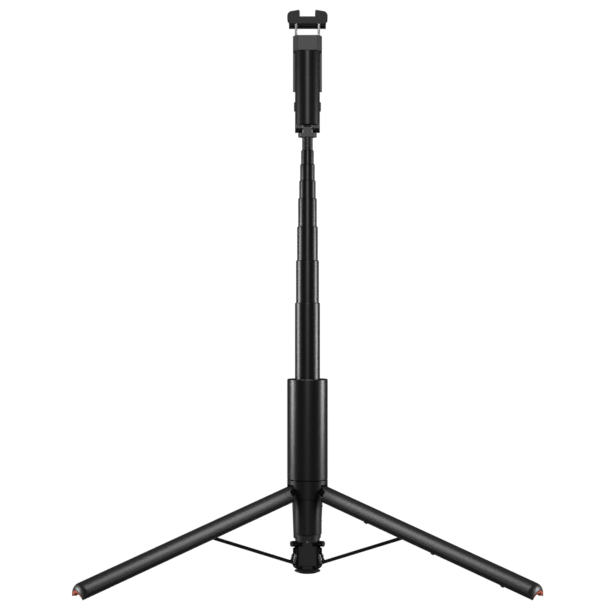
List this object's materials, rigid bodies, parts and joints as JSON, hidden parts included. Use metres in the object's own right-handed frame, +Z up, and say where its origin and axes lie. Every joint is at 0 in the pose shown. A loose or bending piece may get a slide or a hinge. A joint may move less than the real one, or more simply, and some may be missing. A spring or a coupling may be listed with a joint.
{
  "type": "selfie stick",
  "caption": "Selfie stick that stands on a folding tripod foot, with a telescopic mast and a tilting phone clamp on two guide rods.",
  "frame": {"origin": "centre of the flat underside of the base disc, on the mast axis", "axes": "+Z up along the mast; -Y is the front of the clamp body, and the phone's side is +Y; +X is to the right seen from the front; one leg points along +Y"},
  "size_m": [0.3926, 0.3431, 0.5075],
  "materials": {
    "satin_black": "satin",
    "gloss_black": "gloss",
    "housing_black": "satin",
    "matte_black": "fine matte",
    "steel": "bright",
    "bracket_black": "satin",
    "bracket_tip": "satin",
    "leg_black": "satin",
    "foot_orange": "soft matte",
    "grip_rubber": "soft matte",
    "strut_black": "satin",
    "tube_black": "high gloss",
    "bush_plastic": "natural",
    "clamp_black": "satin",
    "dark_steel": "dark",
    "rod_steel": "polished"
  },
  "bodies": {
    "handle": {"sleeve": "satin_black", "sleeve_end_ring": "gloss_black", "leg_collar": "satin_black", "mast_housing": "housing_black", "hub": "matte_black", "base_disc": "matte_black", "disc_screw": "steel", "strut_brackets": "bracket_black", "bracket_tips": "bracket_tip", "latch_lugs": "gloss_black", "window_pins": "steel", "leg_hinge_pins": "dark_steel", "strut_hinge_pins": "dark_steel"},
    "leg_left": {"leg_left": "leg_black", "foot_pad_left": "foot_orange", "edge_buttons_left": "grip_rubber"},
    "strut_left": {"strut_left": "strut_black", "strut_slider_left": "steel"},
    "leg_right": {"leg_right": "leg_black", "foot_pad_right": "foot_orange", "edge_buttons_right": "grip_rubber"},
    "strut_right": {"strut_right": "strut_black", "strut_slider_right": "steel"},
    "leg_rear": {"leg_rear": "leg_black", "foot_pad_rear": "foot_orange", "edge_buttons_rear": "grip_rubber"},
    "strut_rear": {"strut_rear": "strut_black", "strut_slider_rear": "steel"},
    "mast_1": {"tube_1": "tube_black", "tube_bush_1": "bush_plastic"},
    "mast_2": {"tube_2": "tube_black", "tube_bush_2": "bush_plastic"},
    "mast_3": {"tube_3": "tube_black", "tube_bush_3": "bush_plastic"},
    "mast_4": {"tube_4": "tube_black", "tube_bush_4": "bush_plastic"},
    "mast_5": {"tube_5": "tube_black", "tube_bush_5": "bush_plastic"},
    "mast_6": {"tube_6": "tube_black", "tube_bush_6": "bush_plastic"},
    "mast_7": {"tube_7": "tube_black", "tube_bush_7": "bush_plastic"},
    "mast_8": {"tube_8": "tube_black", "tube_bush_8": "bush_plastic"},
    "head": {"head_swivel": "matte_black"},
    "clamp": {"clamp_body": "clamp_black", "tilt_pin": "steel", "lower_lip": "clamp_black", "lip_pad": "grip_rubber"},
    "carriage": {"clamp_carriage": "clamp_black", "carriage_face": "matte_black"},
    "jaw": {"guide_rods": "rod_steel", "upper_jaw": "clamp_black", "jaw_pad": "grip_rubber"}
  },
  "joints": [
    {"name": "leg_left_fold", "type": "hinge", "parent": "handle", "child": "leg_left", "pos_m": [-0.01316, -0.0076, 0.0761], "axis": [0.5, -0.866, 0], "range_deg": [0, 71]},
    {"name": "strut_left_fold", "type": "hinge", "parent": "handle", "child": "strut_left", "pos_m": [-0.00918, -0.0053, 0.0063], "axis": [0.5, -0.866, 0], "range_deg": [-0.5, 109.7]},
    {"name": "leg_right_fold", "type": "hinge", "parent": "handle", "child": "leg_right", "pos_m": [0.01316, -0.0076, 0.0761], "axis": [0.5, 0.866, 0], "range_deg": [0, 71]},
    {"name": "strut_right_fold", "type": "hinge", "parent": "handle", "child": "strut_right", "pos_m": [0.00918, -0.0053, 0.0063], "axis": [0.5, 0.866, 0], "range_deg": [-0.5, 109.7]},
    {"name": "leg_rear_fold", "type": "hinge", "parent": "handle", "child": "leg_rear", "pos_m": [0, 0.0152, 0.0761], "axis": [-1, 0, 0], "range_deg": [0, 71]},
    {"name": "strut_rear_fold", "type": "hinge", "parent": "handle", "child": "strut_rear", "pos_m": [0, 0.0106, 0.0063], "axis": [-1, 0, 0], "range_deg": [-0.5, 109.7]},
    {"name": "mast_1_slide", "type": "slide", "parent": "handle", "child": "mast_1", "axis": [0, 0, 1], "range_m": [-0.0656, 0.0451]},
    {"name": "mast_2_slide", "type": "slide", "parent": "mast_1", "child": "mast_2", "axis": [0, 0, 1], "range_m": [-0.0354, 0.0796]},
    {"name": "mast_3_slide", "type": "slide", "parent": "mast_2", "child": "mast_3", "axis": [0, 0, 1], "range_m": [-0.0277, 0.0888]},
    {"name": "mast_4_slide", "type": "slide", "parent": "mast_3", "child": "mast_4", "axis": [0, 0, 1], "range_m": [-0.0228, 0.0952]},
    {"name": "mast_5_slide", "type": "slide", "parent": "mast_4", "child": "mast_5", "axis": [0, 0, 1], "range_m": [-0.0134, 0.1061]},
    {"name": "mast_6_slide", "type": "slide", "parent": "mast_5", "child": "mast_6", "axis": [0, 0, 1], "range_m": [-0.0122, 0.1088]},
    {"name": "mast_7_slide", "type": "slide", "parent": "mast_6", "child": "mast_7", "axis": [0, 0, 1], "range_m": [-0.0099, 0.1126]},
    {"name": "mast_8_slide", "type": "slide", "parent": "mast_7", "child": "mast_8", "axis": [0, 0, 1], "range_m": [-0.0093, 0.1147]},
    {"name": "head_turn", "type": "hinge", "parent": "mast_8", "child": "head", "pos_m": [0, 0, 0.3915], "axis": [0, 0, 1], "continuous": true},
    {"name": "clamp_tilt", "type": "hinge", "parent": "head", "child": "clamp", "pos_m": [0, 0, 0.398], "axis": [-1, 0, 0], "range_deg": [-50, 90]},
    {"name": "carriage_slide", "type": "slide", "parent": "clamp", "child": "carriage", "axis": [0, 0, 1], "range_m": [0, 0.012]},
    {"name": "jaw_slide", "type": "slide", "parent": "carriage", "child": "jaw", "axis": [0, 0, 1], "range_m": [-0.0115, 0.012]}
  ],
  "couplings": [
    {"joint": "strut_left_fold", "follows": "leg_left_fold", "ratio": 1.538},
    {"joint": "strut_right_fold", "follows": "leg_right_fold", "ratio": 1.538},
    {"joint": "strut_rear_fold", "follows": "leg_rear_fold", "ratio": 1.538}
  ]
}
